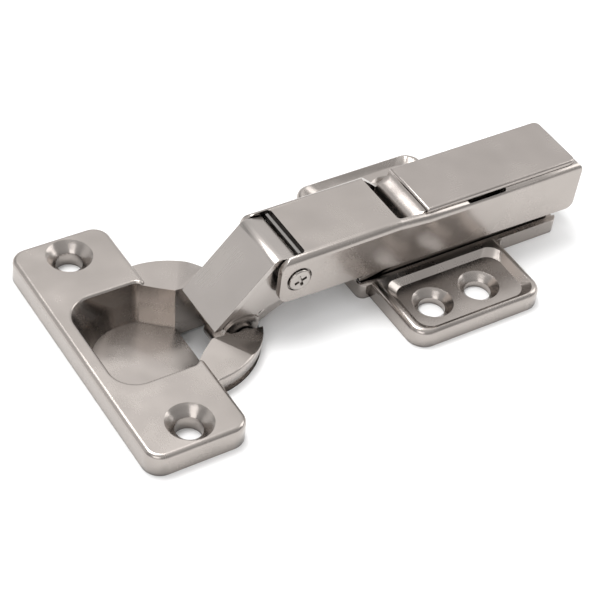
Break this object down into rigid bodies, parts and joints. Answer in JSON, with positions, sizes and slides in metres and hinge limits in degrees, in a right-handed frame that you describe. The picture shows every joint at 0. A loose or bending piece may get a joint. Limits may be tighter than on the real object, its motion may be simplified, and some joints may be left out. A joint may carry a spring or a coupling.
{
  "type": "concealed cup hinge",
  "caption": "Concealed cabinet hinge lying open, with a drilled-in cup and screw flange, a linked arm with a clip-over cover, and a winged mounting plate that the arm clips onto.",
  "frame": {"origin": "centre of the four screw holes of the mounting plate, on the underside that lies on the cabinet panel", "axes": "+X along the arm towards its rear, +Y across the hinge, +Z away from the cabinet panel; the open door's face is at Z 0 too, with the cup sunk below it at -X"},
  "size_m": [0.111, 0.0594, 0.0267],
  "materials": {
    "nickel_steel": "satin nickel plate",
    "pin_steel": "bright nickel plate",
    "spring_steel": "oiled dark steel",
    "nylon": "matte"
  },
  "bodies": {
    "base": {"mounting_plate": "nickel_steel", "hook_pin": "pin_steel", "clip_base": "nickel_steel", "latch_pin": "pin_steel", "latch_spring": "spring_steel"},
    "latch": {"release_latch": "nickel_steel"},
    "arm": {"hinge_arm": "nickel_steel", "cover_cap": "nickel_steel", "link_carrier": "nickel_steel", "link_rivet": "pin_steel", "link_washer_near": "nylon", "link_washer_far": "nylon", "rear_link_pin": "pin_steel", "closing_spring": "spring_steel"},
    "depth_cam": {"depth_cam": "pin_steel"},
    "side_screw": {"side_screw": "pin_steel"},
    "front_link": {"front_link": "nickel_steel", "link_cover": "nickel_steel"},
    "cup": {"hinge_cup": "nickel_steel", "cup_stud_near": "pin_steel", "cup_stud_far": "pin_steel", "inner_cup_pin": "pin_steel"},
    "inner_link": {"inner_link": "nickel_steel"}
  },
  "joints": [
    {"name": "depth_slide", "type": "slide", "parent": "base", "child": "arm", "axis": [1, 0, 0], "range_m": [-0.0015, 0.0015]},
    {"name": "depth_cam_turn", "type": "hinge", "parent": "arm", "child": "depth_cam", "pos_m": [0.016, 0, 0.0175], "axis": [0, 0, 1], "range_deg": [-90, 90]},
    {"name": "side_screw_turn", "type": "hinge", "parent": "arm", "child": "side_screw", "pos_m": [0.005, 0, 0.0165], "axis": [0, 0, 1], "continuous": true},
    {"name": "link_swing", "type": "hinge", "parent": "arm", "child": "front_link", "pos_m": [-0.0322, 0, 0.0129], "axis": [0, -1, 0], "range_deg": [0, 10.3]},
    {"name": "cup_swing", "type": "hinge", "parent": "front_link", "child": "cup", "pos_m": [-0.0423, 0, 0.0002], "axis": [0, 1, 0], "range_deg": [0, 100.3]},
    {"name": "inner_link_swing", "type": "hinge", "parent": "cup", "child": "inner_link", "pos_m": [-0.0431, 0, -0.0053], "axis": [0, -1, 0], "range_deg": [0, 78.3]},
    {"name": "latch_lift", "type": "hinge", "parent": "base", "child": "latch", "pos_m": [0.025, 0, 0.0082], "axis": [0, -1, 0], "range_deg": [0, 12], "stiffness_Nm_per_rad": 0.05, "springref_deg": -11.46, "deforming": ["latch_spring"]}
  ],
  "couplings": [
    {"joint": "link_swing", "follows": "cup_swing", "ratio": 0.1025},
    {"joint": "inner_link_swing", "follows": "cup_swing", "ratio": 0.78},
    {"joint": "depth_cam_turn", "follows": "depth_slide", "rad_per_m": 1047}
  ]
}
